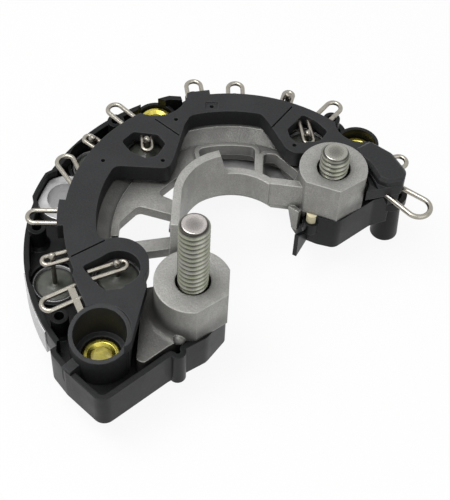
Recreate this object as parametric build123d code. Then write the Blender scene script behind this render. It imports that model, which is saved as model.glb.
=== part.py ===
from build123d import *
import os
from math import acos, atan2, cos, degrees, hypot, radians, sin

# Alternator rectifier: a horseshoe stack of two aluminium heat sinks, a black insulator tray and a
# charcoal terminal cover, with six press-fit diodes, two studs, brass eyelets and wire terminals.
# Millimetres. The shaft axis is the Z axis, and Z = 0 is the plane of the fixing pads.

# Heights of the layers
PAD_HEIGHT = 0.8
PLATE_THICK = 4.2
FLOOR_THICK = 1.2
BASE_THICK = 5.4
RING_THICK = 7.8
SKIRT_HEIGHT = 2.0
COVER_THICK = 3.5
POST_HEIGHT = 12.4
RIM_HEIGHT = 5.4
BULGE_HEIGHT = 5.0
EAR_HEIGHT = 4.2

# Outlines about the shaft axis
CASTING_INNER = 31.8
CASTING_OUTER = 43.6
COVER_INNER = 36.6
COVER_INNER_BACK = 38.2
COVER_OUTER = 45.2
COVER_STEP_OUTER = 46.9
COVER_END_OUTER = 47.2
TRAY_INNER = 33.0
RIM_DISC_END = 109.0
RIM_CENTRE = (1.7, -2.5)
RIM_RADIUS = 57.6
BACK_EDGE = 50.5
BULGE_REACH = 0.3
BULGE_DEPTH = 0.7
BULGE_START = 196.0
BULGE_STOP = 216.0
WALL = 1.5
SKIRT_WALL = 1.8
SKIN = 0.5
PLATE_INSET = 0.6
RING_START = 27.0
RING_STOP = 214.0

# Shaft wall, webs and struts of the casting
SHAFT_RADIUS = 14.0
SHAFT_WALL = 2.2
SHAFT_WALL_LOW = 12.0
SHAFT_WALL_MID = 20.5
SHAFT_WALL_HIGH = 28.0
CREST_START = 108.0
FOOT_FLANGE = 1.2
WEB_THICK = 3.2
WEB_START = 38.0
WEB_STOP = 195.0
SLOPE_DROP = 2.6
LIP = 1.0
WINDOW_RIM_WIDTH = 1.3
WINDOW_RIM_HEIGHT = 0.7
STRUT_WIDTH = 4.0
PLATE_REACH = 24.5

# Posts and studs
POST_1 = (-9.5, -25.2)
POST_2 = (26.2, 15.0)
POST_1_RADIUS = 10.0
POST_2_RADIUS = 9.3
POST_1_FLATS = ((-51.3, 8.7), (0.0, 9.2))
POST_2_FLATS = ((-52.5, 7.9), (-107.3, 7.6))
POST_FILLET = 2.2
POST_BORE = 4.6
STUD_RADIUS = 4.0
STUD_FREE = (23.0, 6.6)
STUD_HEAD_RADIUS = 6.0
STUD_HEAD = 3.0
STUD_CHAMFER = 0.8
STUD_NECK_RADIUS = 3.5
THREAD_START = 0.3
NUB = (-12.3, -34.9)
NUB_RADIUS = 1.7
BUSH = (21.5, 8.8)
BUSH_RADIUS = 1.5
BUSH_BOSS = 0.9
BUSH_SHOWS = 2.8

# Diodes
DIODE_RADIUS = 6.4
DIODE_CAP = 5.6
DIODE_HEIGHT = 7.0
DIODE_PROUD = 1.2
DIODE_BEVEL = 0.5
LEAD_RADIUS = 0.65
POSITIVE_DIODES = ((-29.5, -17.6), (-25.3, 25.8), (19.6, 31.6))
NEGATIVE_DIODES = ((-46.4, -16.4), (-40.4, 25.2), (13.6, 45.9))
LOBE_RADIUS = 7.5
SOCKET_WALL = 0.8
SOCKET_HEIGHT = 1.6
POTTING_DEPTH = 0.9

# Fixing holes on one circle about the shaft axis, by angle
FIXING_RADIUS = 50.0
FIXINGS = {"front": 230.4, "rear_left": 119.0, "rear_right": 46.5}
TRAY_OUTER_RIGHT = FIXING_RADIUS - 0.5
PAD_RADIUS = 7.6
FIXING_PAD_RADIUS = 5.5
EAR = (-46.7, 11.5)
EAR_RADIUS = 8.0
EAR_BORE = 5.2
EAR_WALL = 0.9
EAR_RIM_RADIUS = 58.6
EYELET_BORE = 2.75
EYELET_WALL = 0.45
EYELET_ROLL = 0.9
EYELET_FLANGE = 5.0
EYELET_SEAT = 1.2
GUIDE_RADIUS = 7.9
GUIDE_BORE = 6.8
GUIDE_STEP_BORE = 5.3
GUIDE_STEP = 2.4
GUIDE_SLANT = 12.5
REAR_GUIDE_RADIUS = 6.2
REAR_GUIDE_HEIGHTS = {"rear_left": 2.8, "rear_right": 5.0}

# Wires and terminals
WIRE_RADIUS = 0.65
WIRE_ROOT_RADIUS = 43.2
LOOP_WIDTH = 4.2
HAIRPIN_WIDTH = 2.6
HAIRPIN_OVERHANG = 1.4
WELD_RADIUS = 1.1
WELD_RISE = 1.4

# Stator loops: radius and angle of the tip, and how far the loop leans off the radial line
LOOP_TIPS = (
    (57.3, 213.8, -1.0),
    (55.5, 182.8, 0.0),
    (54.4, 133.3, 4.0),
    (53.3, 105.4, -4.0),
    (51.6, 91.9, 2.0),
    (53.7, 57.9, -4.0),
)
END_LOOP = (54.7, 28.7, -11.0)
END_LOOP_DROP = 1.7
LOOP_TAIL = ((-41.4, -25.8), (-39.6, -25.2), (-35.8, -33.4), (-37.4, -34.0))
TAIL_THICK = 1.1

# Teardrop loops: the eye, its radius, and where the two legs are rooted
W_EYE = (49.9, 9.4)
W_EYE_RADIUS = 3.4
W_ROOTS = ((38.2, 16.2), (40.2, 19.6))
W_WIRE_RADIUS = 0.75
SIDE_EYE = (-46.9, 17.0)
SIDE_EYE_RADIUS = 2.4
SIDE_ROOTS = ((-40.4, 9.0), (-42.0, 6.0))

# Roots of the hairpins that hold the diode leads
POSITIVE_ROOTS = ((-36.4, -21.0), (-26.0, 31.0), (17.8, 40.2))
NEGATIVE_ROOTS = (199.0, 148.6, 73.0)
NEGATIVE_ROOT_RADII = (43.4, 42.4, 42.0)

# Lead sleeves
SLEEVE_TOP_RADIUS = 2.4
SLEEVE_MOUTH_RADIUS = 3.1
END_SLEEVE_MOUTH_RADIUS = 4.0
SLEEVE_SEAT_RADIUS = 4.6
SLEEVE_BORE = 1.3
SLEEVE_WALL = 0.9
SLEEVE_TOP = 13.4
SLEEVE_LOW = -9.0
END_SLEEVE_PLACE = (48.9, 25.5)
FRONT_SLEEVE = (-43.2, -30.9)

# Casting: base of the long stud, windows, strut, leg, bridge and the ends of the shaft wall
BASE_CORNERS = (
    (-22.8, -19.6),
    (-22.6, -41.8),
    (-20.6, -42.4),
    (-14.9, -37.1),
    (-10.4, -34.0),
    (-10.4, -16.5),
    (-18.6, -18.4),
)
BASE_ROUNDS = (1.5, 1.0, 1.0, 0, 0, 0, 1.5)
REAR_WINDOW = ((-7.6, 14.0), (-11.6, 31.0), (5.1, 32.6), (5.1, 14.0))
SIDE_WINDOW = ((7.5, 28.4), (10.8, 28.4), (17.4, 22.0), (14.4, 15.2), (7.5, 15.2))
CORNER_WINDOW = ((-13.2, 15.4), (-15.8, 19.0), (-21.6, 12.2), (-15.0, 9.3))
STRUT_WINDOW = ((-16.2, 4.8), (-26.3, 7.4), (-31.4, 0.6), (-30.4, -5.4), (-16.2, -2.2))
LOWER_STRUT = ((-15.4, -4.4), (-30.6, -8.0))
LEG = ((15.2, 10.6), (18.0, 8.6))
LEG_WIDTH = 1.3
LEG_LOW = 4.6
WALL_START = 50.0
WALL_TAIL = 16.4
CREST_TAIL = 10.8
CREST_RAMP = 4.8
BRIDGE = ((9.4, 12.2), (18.6, 11.4))
BRIDGE_WIDTH = 2.2
BELOW_BRIDGE = ((9.4, 6.2), (30.6, 4.4))
FOOT_LOW = 10.9
FOOT_START = 62.0
WEB_END = 186.0
BELOW_BRIDGE_WIDTH = 12.0
CREST_RAMP_SPAN = 8.0
CREST_SLANT = 76.0

# Terminal cover: pieces of its plan, windows, slits, holes and the end block
FRONT_PIECE = (
    (-40.6, -22.0),
    (-36.0, -31.5),
    (-37.0, -42.0),
    (-24.0, -43.6),
    (-22.9, -36.0),
    (-21.2, -24.0),
    (-26.0, -16.0),
)
FRONT_PIECE_ROUNDS = (0, 2.0, 3.0, 3.0, 3.0, 1.0, 0)
SECOND_LOBE = (
    (-36.0, 14.4),
    (-33.6, 15.4),
    (-18.4, 15.4),
    (-17.2, 20.0),
    (-15.2, 32.0),
    (-13.0, 37.4),
    (-24.0, 38.0),
    (-37.0, 22.0),
)
SECOND_LOBE_ROUNDS = (0, 2.0, 2.5, 4.0, 0, 2.0, 0, 0)
THIRD_LOBE = (
    (6.0, 38.2),
    (8.6, 34.2),
    (13.4, 25.2),
    (16.0, 23.4),
    (24.0, 24.6),
    (36.0, 30.0),
    (30.0, 34.0),
    (24.0, 38.2),
)
THIRD_LOBE_ROUNDS = (0, 3.0, 3.0, 3.0, 0, 0, 0, 0)
FIRST_WINDOW = (
    (-38.4, -19.4),
    (-34.0, -16.2),
    (-31.1, -13.7),
    (-28.0, -22.0),
    (-26.6, -25.4),
    (-31.6, -26.5),
    (-34.0, -24.6),
)
SECOND_WINDOW = (
    (-32.2, 24.4),
    (-29.2, 28.2),
    (-22.4, 27.6),
    (-20.0, 24.4),
    (-21.8, 20.0),
    (-24.8, 18.6),
    (-29.4, 20.8),
)
THIRD_WINDOW = (
    (18.1, 38.4),
    (13.7, 32.3),
    (14.5, 29.4),
    (16.7, 27.4),
    (22.9, 28.6),
    (25.1, 32.4),
    (21.8, 36.0),
)
SLITS = (((-23.6, 33.5), (-16.4, 27.8)), ((9.4, 32.8), (15.0, 41.3)), ((-41.5, -16.4), (-33.3, -10.5)))
SLIT_WIDTH = 0.5
SLIT_DEPTH = 0.8
SMALL_HOLES = ((-36.6, 17.0), (-17.7, 33.8), (-20.3, 18.2), (15.8, 26.5), (-7.9, 39.9))
SMALL_HOLE_RADIUS = 0.6
SMALL_HOLE_DEPTH = 2.0
RECESS = (-8.0, 39.9)
RECESS_SIZE = (3.6, 2.8)
RECESS_DEPTH = 0.4
END_BLOCK = (
    (32.4, 24.8),
    (36.8, 28.0),
    (42.6, 24.0),
    (46.6, 17.4),
    (45.4, 13.9),
    (41.2, 12.9),
    (38.7, 13.9),
    (37.5, 16.4),
    (35.8, 19.4),
    (33.4, 21.6),
)
END_BLOCK_ROUNDS = (1.4, 1.4, 3.0, 3.0, 1.2, 1.4, 1.2, 2.0, 2.0, 1.2)
END_BLOCK_CHAMFER = 0.9
GROOVE_WIDTH = 1.6
CORNER_ROUND = 2.5
NOTCH_RADIUS = 9.0

# Clearances
CLEARANCE = 0.3
FIT = 0.05

# Levels worked out from the heights
PLATE_TOP = PAD_HEIGHT + PLATE_THICK
FLOOR_TOP = PLATE_TOP + FLOOR_THICK
BASE_TOP = FLOOR_TOP + BASE_THICK
RING_TOP = FLOOR_TOP + RING_THICK
WEB_TOP = BASE_TOP + 0.8
PLATE_LOW = RING_TOP + SKIRT_HEIGHT
COVER_TOP = PLATE_LOW + COVER_THICK
BLOCK_TOP = COVER_TOP + 2.5
GROOVE_TOP = COVER_TOP - 1.6
POST_TOP = BASE_TOP + POST_HEIGHT
RIM_TOP = FLOOR_TOP + RIM_HEIGHT
BULGE_TOP = PLATE_TOP + BULGE_HEIGHT
EAR_TOP = PLATE_TOP + EAR_HEIGHT
WIRE_LEVEL = PLATE_LOW + COVER_THICK / 2
SHAFT_REACH = SHAFT_RADIUS + SHAFT_WALL
WINDOW_REACH = CASTING_INNER - 0.9
DIODE_AIR = CLEARANCE + SOCKET_WALL + CLEARANCE


def polar(radius, angle, centre=(0, 0)):
    """Point at a radius and an angle in degrees about a centre"""
    return (centre[0] + radius * cos(radians(angle)), centre[1] + radius * sin(radians(angle)))


def circle(centre, radius):
    """Disc on the plan"""
    return Pos(*centre) * Circle(radius)


def rounded(face, radius):
    """Face with its outward corners rounded"""
    return offset(offset(face, -radius, kind=Kind.INTERSECTION), radius)


def outline(points, radii=0):
    """Closed face through points, with rounded corners"""
    if radii == 0:
        return make_face(Polyline(*points, close=True))
    return make_face(FilletPolyline(*points, radius=radii, close=True))


def sector(inner, outer, start, stop):
    """Face between two radii and two angles about the shaft axis"""
    near = CenterArc((0, 0), inner, start, stop - start)
    far = CenterArc((0, 0), outer, start, stop - start)
    return make_face([near, far, Line(near @ 0, far @ 0), Line(near @ 1, far @ 1)])


def bar(start, stop, width):
    """Straight strip of a width between two points"""
    length = hypot(stop[0] - start[0], stop[1] - start[1])
    angle = degrees(atan2(stop[1] - start[1], stop[0] - start[0]))
    middle = ((start[0] + stop[0]) / 2, (start[1] + stop[1]) / 2)
    return Pos(*middle) * Rot(0, 0, angle) * Rectangle(length, width)


def raise_up(face, low, high):
    """Prism on a face between two heights"""
    return extrude(Pos(0, 0, low) * face, high - low, dir=(0, 0, 1))


def rod(centre, radius, low, high):
    """Upright cylinder between two heights"""
    foot = Pos(centre[0], centre[1], low)
    return foot * Cylinder(radius, high - low, align=(Align.CENTER, Align.CENTER, Align.MIN))


def turned(centre, profile):
    """Solid of revolution about an upright axis, from points of radius and height"""
    face = make_face(Plane.XZ * Polyline(*profile, close=True))
    return Pos(centre[0], centre[1], 0) * revolve(face, Axis.Z)


def fixing_place(name):
    """Plan place of a fixing hole"""
    return polar(FIXING_RADIUS, FIXINGS[name])


def save(name, solid):
    """Write one node"""
    export_step(solid, "parts/" + name + ".step")


# Plans shared by the negative heat sink and the tray

FRONT_CORNERS = (
    polar(FIXING_RADIUS + 7.7, 219.4),
    polar(FIXING_RADIUS + 10.4, 222.6),
    polar(FIXING_RADIUS + 11.1, 229.0),
    polar(FIXING_RADIUS + 12.6, 241.3),
    (-14.7, -40.6),
    (-5.2, -33.9),
    (-0.6, -26.9),
    (-1.4, -18.0),
    (-8.0, -14.6),
    (-17.0, -17.0),
    (-24.0, -23.6),
)
FRONT_ROUNDS = (0, 3, 3, 3.2, 4, 4, 2, 4, 4, 4, 2)
RIGHT_CORNERS = (
    (16.4, 13.0),
    (18.2, 9.6),
    (23.6, 7.3),
    (28.6, 6.2),
    (38.6, 14.9),
    (44.6, 17.4),
    (42.0, 27.0),
    (26.0, 34.0),
)
RIGHT_ROUNDS = (0, 2, 2, 3, 3, 2, 0, 0)
SEAM_BUMP = (-12.4, -38.5)
SEAM_BUMP_RADIUS = 2.2
INNER_SIDE = ((-32.0, -24.8), (-10.4, -24.8), (-4.0, -19.0), (-4.0, -8.0), (-32.0, -8.0))

# Barb at the right end, its foot on the plan, and the latch of the cover in the front wall
BARB = ((17.4, 2.2), (20.8, 9.4))
BARB_WIDTH = 1.2
BARB_TIP = 10.0
BARB_HEEL = 3.0
LATCH_WIDTH = 2.8
LATCH_ANGLE = 229.4


def rim_disc(inset):
    """Disc of the outer rim with its flat back edge, drawn in by an inset"""
    reach = 2 * RIM_RADIUS
    keep = Pos(0, BACK_EDGE - inset - reach / 2) * Rectangle(2 * reach, reach)
    return circle(RIM_CENTRE, RIM_RADIUS - inset) & keep


def fan(start, stop):
    """Wide sector between two angles, less than a half turn apart"""
    reach = 3 * RIM_RADIUS
    middle = polar(2 * reach, (start + stop) / 2)
    return outline(((0, 0), polar(reach, start), middle, polar(reach, stop)))


def front_block(inset):
    """Plan of the block under the long stud's post"""
    block = outline(FRONT_CORNERS, FRONT_ROUNDS) + circle(SEAM_BUMP, SEAM_BUMP_RADIUS)
    return offset(block, -inset) if inset > 0 else block


def right_block(inset):
    """Plan of the block under the short stud's post"""
    block = outline(RIGHT_CORNERS, RIGHT_ROUNDS)
    return offset(block, -inset) if inset > 0 else block


def ear_plan(radius, rim_radius):
    """Round plan about the ear, cut off along the rim"""
    return circle(EAR, radius) & circle(RIM_CENTRE, rim_radius)


def left_plan(inset):
    """Plan of the lower layers under the high rim, which swells round the ear"""
    ear = ear_plan(EAR_RADIUS + CLEARANCE + EAR_WALL - inset, EAR_RIM_RADIUS - inset)
    return (rim_disc(inset) + ear) & fan(RIM_DISC_END - inset / 2, 226.0)


def right_plan(inset):
    """Plan of the lower layers behind, where the rim is low"""
    plan = sector(TRAY_INNER - 8.0, TRAY_OUTER_RIGHT - inset, 24.0, RIM_DISC_END + 2.0)
    plan += circle(NEGATIVE_DIODES[2], DIODE_RADIUS + CLEARANCE + SOCKET_WALL - inset)
    plan += circle(fixing_place("rear_right"), REAR_GUIDE_RADIUS - inset)
    for place in SLEEVES[REAR_SLEEVES:]:
        plan += circle(place, SLEEVE_SEAT_RADIUS - inset)
    return plan


def lower_plan(inset):
    """Whole plan of the lower layers, without the shaft opening"""
    blocks = front_block(inset) + right_block(inset)
    return left_plan(inset) + right_plan(inset) + blocks - (circle((0, 0), TRAY_INNER) - blocks)


# Wire loops and the sleeves under their eyes


def loop_eye(tip, width):
    """Plan place of a loop's eye, and the loop's direction"""
    radius, angle, lean = tip
    x, y = polar(radius, angle)
    reach = width / 2 + WIRE_RADIUS
    return (x - reach * cos(radians(angle + lean)), y - reach * sin(radians(angle + lean)))


END_SLEEVE = polar(*END_SLEEVE_PLACE)
SLEEVES = (FRONT_SLEEVE,) + tuple(loop_eye(tip, LOOP_WIDTH) for tip in LOOP_TIPS[1:]) + (END_SLEEVE,)
REAR_SLEEVES = 3


def mouth_radius(place):
    """Outer radius of a sleeve at its lower end"""
    return END_SLEEVE_MOUTH_RADIUS if place == END_SLEEVE else SLEEVE_MOUTH_RADIUS


def sleeve_body(place):
    """Funnel sleeve that guides a stator lead up from below"""
    profile = (
        (0, SLEEVE_LOW),
        (mouth_radius(place), SLEEVE_LOW),
        (SLEEVE_TOP_RADIUS + 0.8, FLOOR_TOP),
        (SLEEVE_TOP_RADIUS, FLOOR_TOP + 1.0),
        (SLEEVE_TOP_RADIUS, SLEEVE_TOP),
        (0, SLEEVE_TOP),
    )
    return turned(place, profile)


def sleeve_bore(place):
    """Hollow of a funnel sleeve"""
    mouth = mouth_radius(place) - SLEEVE_WALL
    profile = (
        (0, SLEEVE_LOW - 1.0),
        (mouth, SLEEVE_LOW - 1.0),
        (mouth, SLEEVE_LOW),
        (SLEEVE_BORE, PLATE_TOP),
        (SLEEVE_BORE, SLEEVE_TOP + 1.0),
        (0, SLEEVE_TOP + 1.0),
    )
    return turned(place, profile)


def u_wire(eye, direction, width, length, level, radius):
    """Wire bent to a U: round end about the eye, legs running back for a length"""
    half = width / 2
    arc = CenterArc((0, 0), half, -90.0, 180.0)
    lower = Line((-length, -half), (0, -half))
    upper = Line((0, half), (-length, half))
    path = Wire([lower, arc, upper])
    section = Plane(origin=(-length, -half, 0), z_dir=(1, 0, 0)) * Circle(radius)
    return Pos(eye[0], eye[1], level) * Rot(0, 0, direction) * sweep(section, path=path)


def stator_loop(tip, width, level):
    """Stator terminal loop rooted in the cover"""
    radius, angle, lean = tip
    eye = loop_eye(tip, width)
    length = hypot(*eye) - WIRE_ROOT_RADIUS
    return u_wire(eye, angle + lean, width, length, level, WIRE_RADIUS)


def hairpin(place, root, level):
    """Hairpin that grips a diode lead, rooted in the cover at a place"""
    direction = degrees(atan2(place[1] - root[1], place[0] - root[0]))
    length = hypot(place[0] - root[0], place[1] - root[1]) + HAIRPIN_OVERHANG
    end = polar(HAIRPIN_OVERHANG, direction, place)
    return u_wire(end, direction, HAIRPIN_WIDTH, length, level, WIRE_RADIUS)


def tangent_angle(eye, radius, point, side):
    """Angle on an eye at which the tangent from a point touches it, on a side of +1 or -1"""
    x, y = point[0] - eye[0], point[1] - eye[1]
    return degrees(atan2(y, x)) + side * degrees(acos(radius / hypot(x, y)))


def teardrop(eye, radius, roots, level, wire_radius):
    """Open loop of wire: a round eye whose two legs run straight to their roots"""
    begin = tangent_angle(eye, radius, roots[0], 1.0)
    turn = (tangent_angle(eye, radius, roots[1], -1.0) - begin) % 360.0
    arc = CenterArc(eye, radius, begin, turn)
    path = Wire([Line(roots[0], arc @ 0), arc, Line(arc @ 1, roots[1])])
    heading = arc % 0
    section = Plane(origin=(*roots[0], 0), z_dir=(heading.X, heading.Y, 0)) * Circle(wire_radius)
    return Pos(0, 0, level) * sweep(section, path=path)


def all_wires():
    """Every wire rooted in the cover, by node name"""
    wires = {}
    for index, tip in enumerate(LOOP_TIPS):
        wires["stator_loop_" + str(index + 1)] = stator_loop(tip, LOOP_WIDTH, WIRE_LEVEL)
    tail = outline(LOOP_TAIL) - circle(fixing_place("front"), GUIDE_BORE + 0.5)
    wires["stator_loop_1"] += raise_up(tail, WIRE_LEVEL - TAIL_THICK / 2, WIRE_LEVEL + TAIL_THICK / 2)
    end_level = WIRE_LEVEL - END_LOOP_DROP
    wires["stator_loop_7"] = stator_loop(END_LOOP, LOOP_WIDTH, end_level)
    wires["side_loop"] = teardrop(SIDE_EYE, SIDE_EYE_RADIUS, SIDE_ROOTS, WIRE_LEVEL, WIRE_RADIUS)
    wires["w_terminal"] = teardrop(W_EYE, W_EYE_RADIUS, W_ROOTS, end_level, W_WIRE_RADIUS)
    for index, place in enumerate(POSITIVE_DIODES):
        wires["hairpin_positive_" + str(index + 1)] = hairpin(place, POSITIVE_ROOTS[index], WIRE_LEVEL)
    for index, place in enumerate(NEGATIVE_DIODES):
        root = polar(NEGATIVE_ROOT_RADII[index], NEGATIVE_ROOTS[index])
        wires["hairpin_negative_" + str(index + 1)] = hairpin(place, root, WIRE_LEVEL)
    return wires


# Pieces


def bulge_plan(inner):
    """Strip along the rim, from a radius out past it, where the lower heat sink shows outside"""
    strip = circle(RIM_CENTRE, RIM_RADIUS + BULGE_REACH) - circle(RIM_CENTRE, inner)
    return strip & fan(BULGE_START, BULGE_STOP)


def negative_heat_sink():
    """Flat lower heat sink with fixing pads, an ear, diode seats, an outer bulge and a rear tongue"""
    plate = raise_up(lower_plan(PLATE_INSET), PAD_HEIGHT, PLATE_TOP)
    plate += raise_up(sector(PLATE_REACH, TRAY_INNER + 2.0, 44.0, 112.0), PAD_HEIGHT, PLATE_TOP)
    plate += raise_up(bulge_plan(RIM_RADIUS - 3.0), PAD_HEIGHT, PLATE_TOP)
    plate += raise_up(bulge_plan(RIM_RADIUS - BULGE_DEPTH), PLATE_TOP, BULGE_TOP)
    plate += raise_up(ear_plan(EAR_RADIUS, EAR_RIM_RADIUS - EAR_WALL - CLEARANCE), PAD_HEIGHT, EAR_TOP)
    plate += raise_up(ear_plan(PAD_RADIUS, EAR_RIM_RADIUS - EAR_WALL - CLEARANCE), 0, PAD_HEIGHT)
    for name in FIXINGS:
        plate += rod(fixing_place(name), FIXING_PAD_RADIUS, 0, PAD_HEIGHT)
    for name in FIXINGS:
        plate -= rod(fixing_place(name), EYELET_BORE + EYELET_WALL, -1.0, PLATE_TOP + 1.0)
    plate -= rod(EAR, EAR_BORE, -1.0, EAR_TOP + 1.0)
    plate -= raise_up(bar(*BARB, BARB_WIDTH + 2 * CLEARANCE), 0, PLATE_TOP)
    for place in NEGATIVE_DIODES:
        plate -= rod(place, DIODE_RADIUS, -1.0, BULGE_TOP + 1.0)
    for place in SLEEVES:
        plate -= rod(place, mouth_radius(place) + CLEARANCE, -1.0, PLATE_TOP + 1.0)
    return plate


def tray_walls():
    """Outer rim, low rear wall and the walls round both end blocks"""
    hollow = circle((0, 0), TRAY_INNER + 6.0)
    high = left_plan(0) - left_plan(WALL) - front_block(WALL) - hollow
    walls = raise_up(high, PLATE_TOP, RIM_TOP)
    low = right_plan(0) - right_plan(WALL) - left_plan(WALL) - right_block(WALL) - hollow
    walls += raise_up(low, PLATE_TOP, FLOOR_TOP + SOCKET_HEIGHT)
    inside = (front_block(0) - front_block(WALL)) & fan(222.0, 290.0)
    inside -= outline(INNER_SIDE)
    inside += (right_block(0) - right_block(WALL)) & fan(-40.0, 22.5)
    walls += raise_up(inside - left_plan(WALL), PLATE_TOP, RIM_TOP)
    blocks = front_block(0) + right_block(0)
    skin = blocks - front_block(SKIN) - right_block(SKIN)
    skin = skin - left_plan(PLATE_INSET) - right_plan(PLATE_INSET)
    walls += raise_up(skin, 0, PLATE_TOP)
    return walls


def upright(line, width, side):
    """Upright plate along a line of the plan, cut to its outline from the side"""
    across = line[1][0] - line[0][0]
    along = line[1][1] - line[0][1]
    plate = extrude(Plane.XZ * outline(side), width / 2, both=True)
    return Pos(line[0][0], line[0][1], 0) * Rot(0, 0, degrees(atan2(along, across))) * plate


def barb():
    """Fin at the right end that comes to a point at its top"""
    length = hypot(BARB[1][0] - BARB[0][0], BARB[1][1] - BARB[0][1])
    side = ((0, PAD_HEIGHT), (length, PAD_HEIGHT), (length, BARB_HEEL), (0, BARB_TIP))
    return upright(BARB, BARB_WIDTH, side)


def leg():
    """Tapered leg that hangs from the bridge beside the tray's right block"""
    length = hypot(LEG[1][0] - LEG[0][0], LEG[1][1] - LEG[0][1])
    top = SHAFT_WALL_LOW + 0.6
    side = ((0, top), (0, BASE_TOP), (length / 2, LEG_LOW), (length, LEG_LOW), (length, top))
    return upright(LEG, LEG_WIDTH, side)


def latch_strip(width):
    """Plan of the cover's latch, from the guide tube out through the front wall"""
    start = polar(FIXING_RADIUS + GUIDE_BORE + 0.4, LATCH_ANGLE)
    return bar(start, polar(FIXING_RADIUS + 11.0, LATCH_ANGLE), width)


def insulator_tray():
    """Black tray: floor, outer rim, end blocks, diode sockets, guide rings and lead sleeves"""
    tray = raise_up(lower_plan(0), PLATE_TOP, FLOOR_TOP) + tray_walls()
    for place in NEGATIVE_DIODES:
        tray += rod(place, DIODE_RADIUS + CLEARANCE + SOCKET_WALL, PLATE_TOP, FLOOR_TOP + SOCKET_HEIGHT)
    for name in ("rear_left", "rear_right"):
        guide_top = FLOOR_TOP + REAR_GUIDE_HEIGHTS[name]
        tray += rod(fixing_place(name), REAR_GUIDE_RADIUS, PLATE_TOP, guide_top)
    for place in SLEEVES:
        tray += sleeve_body(place)
    boss = circle(BUSH, BUSH_RADIUS + BUSH_BOSS) - right_block(WALL)
    tray += barb() + raise_up(boss, PLATE_TOP, BASE_TOP - BUSH_SHOWS)
    for place in NEGATIVE_DIODES:
        tray -= rod(place, DIODE_RADIUS + CLEARANCE, PLATE_TOP - 1.0, RIM_TOP + 1.0)
    for name in ("rear_left", "rear_right"):
        tray -= rod(fixing_place(name), EYELET_FLANGE + CLEARANCE, FLOOR_TOP + EYELET_SEAT, BLOCK_TOP)
    tray += rod(fixing_place("front"), EYELET_FLANGE, FLOOR_TOP, FLOOR_TOP + EYELET_SEAT)
    for name in FIXINGS:
        tray -= rod(fixing_place(name), EYELET_BORE + EYELET_WALL, -1.0, FLOOR_TOP + EYELET_SEAT + 1.0)
    for place in SLEEVES:
        tray -= sleeve_bore(place)
    ear = ear_plan(EAR_RADIUS + CLEARANCE, EAR_RIM_RADIUS - EAR_WALL)
    tray -= raise_up(ear, PLATE_TOP - 1.0, RIM_TOP + 1.0)
    tray -= raise_up(bulge_plan(RIM_RADIUS - BULGE_DEPTH), PLATE_TOP, BULGE_TOP)
    tray -= raise_up(latch_strip(LATCH_WIDTH + 2 * CLEARANCE), FLOOR_TOP, RIM_TOP + 1.0)
    tray -= rod(BUSH, BUSH_RADIUS, FLOOR_TOP, RIM_TOP + 1.0)
    return tray


def post_face(centre, radius, flats):
    """Round post with flats, each a direction and a distance from the axis"""
    face = circle(centre, radius)
    for angle, distance in flats:
        middle = polar(distance + radius, angle, centre)
        face -= Pos(*middle) * Rot(0, 0, angle) * Rectangle(2 * radius, 3 * radius)
    return face


def casting_ring():
    """Diode ring with its lobes, and the hollow slope that runs down to the inner lip"""
    ring = sector(CASTING_INNER, CASTING_OUTER, RING_START, RING_STOP)
    lobes = circle(POSITIVE_DIODES[0], LOBE_RADIUS)
    for place in POSITIVE_DIODES[1:]:
        lobes += circle(place, LOBE_RADIUS)
    low_top = RING_TOP - SLOPE_DROP
    under_cover = sector(COVER_INNER + 0.8, CASTING_OUTER, RING_START, RING_STOP) + lobes
    casting = raise_up(ring + lobes, FLOOR_TOP, low_top) + raise_up(under_cover, low_top, RING_TOP)
    high = (COVER_INNER + 1.0, 0, RING_TOP)
    middle = (COVER_INNER - 2.2, 0, RING_TOP - 1.9)
    low = (CASTING_INNER + LIP, 0, low_top)
    under = (COVER_INNER + 1.0, 0, low_top)
    edge = [ThreePointArc(high, middle, low), Line(low, under), Line(under, high)]
    slope = revolve(make_face(edge), Axis.Z)
    reach = sector(CASTING_INNER, COVER_OUTER, RING_START, RING_STOP)
    return casting + (slope & raise_up(reach, low_top, RING_TOP))


def window_faces():
    """Openings of the web, clear of the shaft wall's foot and of the ring's lip"""
    keep = circle((0, 0), WINDOW_REACH) - circle((0, 0), SHAFT_REACH + FOOT_FLANGE)
    rear = rounded(outline(REAR_WINDOW) & keep, 1.6)
    side = rounded(outline(SIDE_WINDOW) & keep, 1.2)
    corner = rounded(outline(CORNER_WINDOW) & keep, 1.2)
    strut = rounded(outline(STRUT_WINDOW) & circle((0, 0), WINDOW_REACH), 2.0)
    return rear, side, corner, strut


def casting_web():
    """Web between shaft wall and ring, with rimmed windows, and the lower strut"""
    low = WEB_TOP - WEB_THICK
    web = raise_up(sector(SHAFT_REACH - 0.4, CASTING_INNER + LIP, WEB_START, WEB_END), low, WEB_TOP)
    lower = bar(*LOWER_STRUT, STRUT_WIDTH)
    web += raise_up(lower, low, WEB_TOP)
    windows = window_faces()
    for window in windows[:2]:
        rim = offset(window, WINDOW_RIM_WIDTH)
        rim = rim & sector(SHAFT_REACH, CASTING_INNER + LIP, WEB_START, WEB_STOP)
        web += raise_up(rim, WEB_TOP, WEB_TOP + WINDOW_RIM_HEIGHT)
    for window in windows:
        web -= raise_up(window, low - 1.0, WEB_TOP + 2.0)
    web -= raise_up(bar(*BELOW_BRIDGE, BELOW_BRIDGE_WIDTH), low - 1.0, WEB_TOP + 2.0)
    foot = sector(SHAFT_RADIUS + 1.0, SHAFT_REACH + FOOT_FLANGE, FOOT_START, 180.0)
    return web + raise_up(foot, FOOT_LOW, WEB_TOP)


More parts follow.
